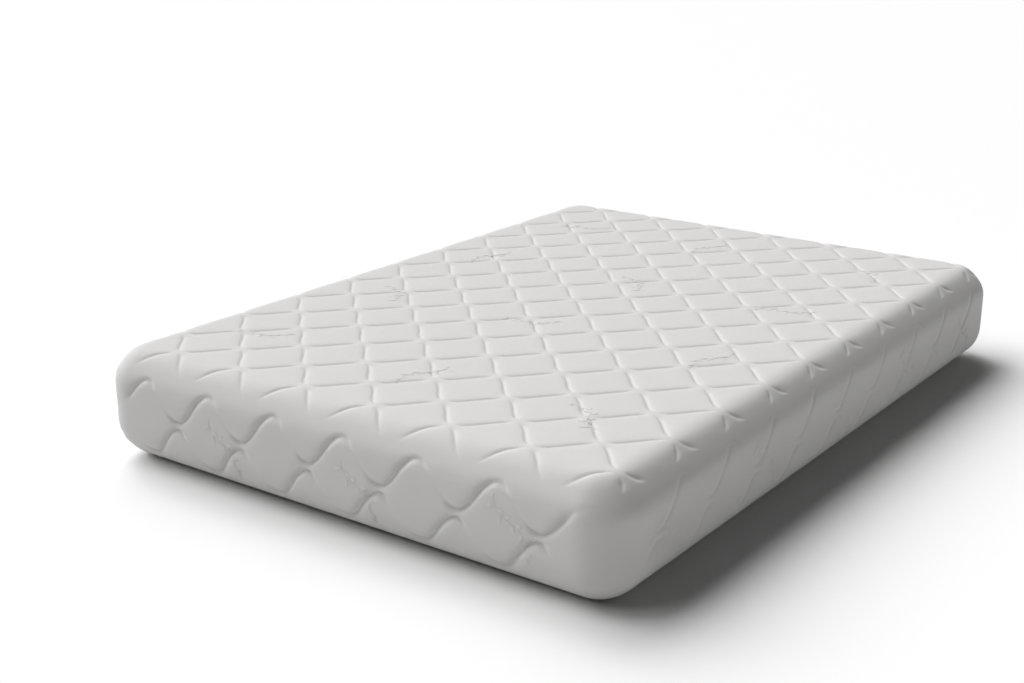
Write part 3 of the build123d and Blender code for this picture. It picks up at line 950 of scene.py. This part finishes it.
def embroidery(name, sites, surface):
    """Raised stitches that follow a panel's quilted face."""
    pairs = np.concatenate([sprig((a, b), math.radians(angle)) for a, b, angle in sites])
    t = np.linspace(0, 1, STITCH_SAMPLES)[None, :, None]
    lines = pairs[:, :1] + (pairs[:, 1:] - pairs[:, :1]) * t
    centre, normal = surface(lines[..., 0], lines[..., 1])
    t = t[..., None]
    arch = THREAD_RADIUS * (THREAD_RISE[1] * np.sin(math.pi * t) + THREAD_RISE[0])
    width = THREAD_RADIUS * taper(t)
    along = np.gradient(centre, axis=1)
    along /= np.linalg.norm(along, axis=-1, keepdims=True)
    across = np.cross(along, normal)
    turn = np.linspace(0, 2 * math.pi, 7)[:-1, None]
    rings = centre[:, :, None] + normal[:, :, None] * (arch + THREAD_FLATNESS * width * np.sin(turn))
    rings = rings + across[:, :, None] * width * np.cos(turn)
    zip_piece(name, "seam_thread", [tube(stitch_rings) for stitch_rings in rings], None)


def on_top(x, y):
    """The top panel's face."""
    face, up = drape(x, y)
    return face - up * top_relief(x, y)[..., None], up


def on_border(along, across):
    """The border's face."""
    along = np.mod(along, PERIMETER)
    face, out = wrap_round(along, across)
    return face - out * border_relief(along, across)[..., None], out


top_sites = [
    (x + 0.03 * ((row + column) % 2), y, 24 + 115 * ((row + 2 * column) % 3))
    for column, x in enumerate((-0.46, -0.02, 0.43))
    for row, y in enumerate((-0.66, -0.22, 0.21, 0.64))
]
embroidery("top_embroidery", top_sites, on_top)
BORDER_SPRIGS = 17  # round the whole border, before those beside the zip and on corners are left out
border_sites = [
    (0.09 + PERIMETER * k / BORDER_SPRIGS, ZIP_S - 22 * MM * (k % 2), 52) for k in range(BORDER_SPRIGS)
]
border_sites = [
    site for site in border_sites
    if not SIDE_STARTS[5] < site[0] < SIDE_STARTS[8]
    and min(abs(site[0] - start - ARC_CORNER / 2) for start in SIDE_STARTS[1:-2:2]) > ARC_CORNER
]
embroidery("border_embroidery", border_sites, on_border)


# -------------------- care label, left blank
LABEL_THICKNESS = 0.5 * MM
y_span, z_span, depths = extent("care_label")
label_y, label_z = np.linspace(*y_span, 61), np.linspace(*z_span, 39)
under = np.array([[border_depth(y, z) for z in label_z] for y in label_y])
wy, wz = np.linspace(0, 1, 61)[:, None], np.linspace(0, 1, 39)
off_edges = np.sin(math.pi * wy) * np.sin(math.pi * wz) ** 2
buckle = 0.5 * MM * np.sin(3 * math.pi * wy + 1) * off_edges
face = under - 0.35 * MM - np.abs(buckle)
grid_y, grid_z = np.meshgrid(label_y, label_z, indexing="ij")
front = zip_points(grid_y, grid_z, face - LABEL_THICKNESS / 2)
normal = np.zeros_like(front) + [-1.0, 0, 0]
label = layer("label", front, normal, 0.0, LABEL_THICKNESS, (1, 1))
finish_piece(label, LOOKS["label_cloth"], ["care_label"])


def on_label(y, z):
    """Depth of the label's face beside its stitching."""
    return border_depth(y, z) - 0.6 * MM


in_y, in_z = ((low + 2.5 * MM, high - 2.5 * MM) for low, high in (y_span, z_span))
rows = stitched_box(in_y, in_z, 2.6 * MM, 0.28 * MM, on_label)
zip_piece("label_stitch", "seam_thread", rows, None)


# -------------------- finishes on the frame's own nodes
NODE_LOOKS = {"seam_thread": "seam_thread", "glue_line": "glue", "zip_": "zip_metal"}
for node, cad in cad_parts.items():
    if not cad.hide_render:
        finish = next(finish for part, finish in NODE_LOOKS.items() if part in node)
        cad.data.materials.clear()
        cad.data.materials.append(LOOKS[finish])


# -------------------- camera, floor and light
def look(azimuth, elevation, along, side, up, lens):
    """A camera that looks back along the given direction, from a distance and two offsets."""
    a, e = math.radians(azimuth), math.radians(elevation)
    back = Vector((math.sin(a) * math.cos(e), -math.cos(a) * math.cos(e), math.sin(e)))
    right = Vector((math.cos(a), math.sin(a), 0))
    place = back * along + right * side + back.cross(right) * up
    camera = bpy.data.objects.new("camera", bpy.data.cameras.new("camera"))
    bpy.context.scene.collection.objects.link(camera)
    camera.location = place
    camera.rotation_mode = "QUATERNION"
    camera.rotation_quaternion = (-back).to_track_quat("-Z", "Y")
    camera.data.sensor_width = 36
    camera.data.lens = lens
    bpy.context.scene.camera = camera


look(azimuth=36.07, elevation=17.94, along=3.7581, side=-0.1874, up=0.1455, lens=52.53)

WHITE = (1, 1, 1, 1)
scene = bpy.context.scene
scene.view_settings.view_transform = "Standard"
world = bpy.data.worlds.new("studio")
scene.world = world
world.use_nodes = True
backdrop = world.node_tree.nodes["Background"]
backdrop.inputs["Color"].default_value = WHITE
backdrop.inputs["Strength"].default_value = 0.01  # hardly any light, but white where the camera sees it
seen = add_node(world.node_tree, "Background", {"Color": WHITE})
rays = add_node(world.node_tree, "LightPath")
mixed = add_node(world.node_tree, "MixShader", fed_by={
    "Fac": rays.outputs["Is Camera Ray"], 1: backdrop.outputs["Background"], 2: seen.outputs["Background"],
})
world.node_tree.links.new(mixed.outputs["Shader"], world.node_tree.nodes["World Output"].inputs["Surface"])

FLOOR_HALF = 60
corners = [(x * FLOOR_HALF, y * FLOOR_HALF, 0) for x, y in ((-1, -1), (1, -1), (1, 1), (-1, 1))]
floor = mesh_object("floor", corners, [[0, 1, 2, 3]])
floor_material, _, _ = new_material("floor", (0.83, 0.83, 0.83), 0.95)
floor.data.materials.append(floor_material)

# Soft distant lights: the side and height each one shines from, its strength and its width
for name, azimuth, elevation, strength, width in (
    ("key", 180, 50, 3.1, 54),
    ("key_head", 140, 42, 1.3, 40),
    ("key_foot", 232, 42, 0.72, 30),
    ("low_fill", 25, 3, 0.42, 6),
):
    a, e = math.radians(azimuth), math.radians(elevation)
    towards = (-math.cos(a) * math.cos(e), -math.sin(a) * math.cos(e), -math.sin(e))
    lamp = bpy.data.lights.new(name, "SUN")
    lamp.energy = strength
    lamp.angle = math.radians(width)
    light = bpy.data.objects.new(name, lamp)
    light.rotation_mode = "QUATERNION"
    light.rotation_quaternion = Vector(towards).to_track_quat("-Z", "Y")
    scene.collection.objects.link(light)
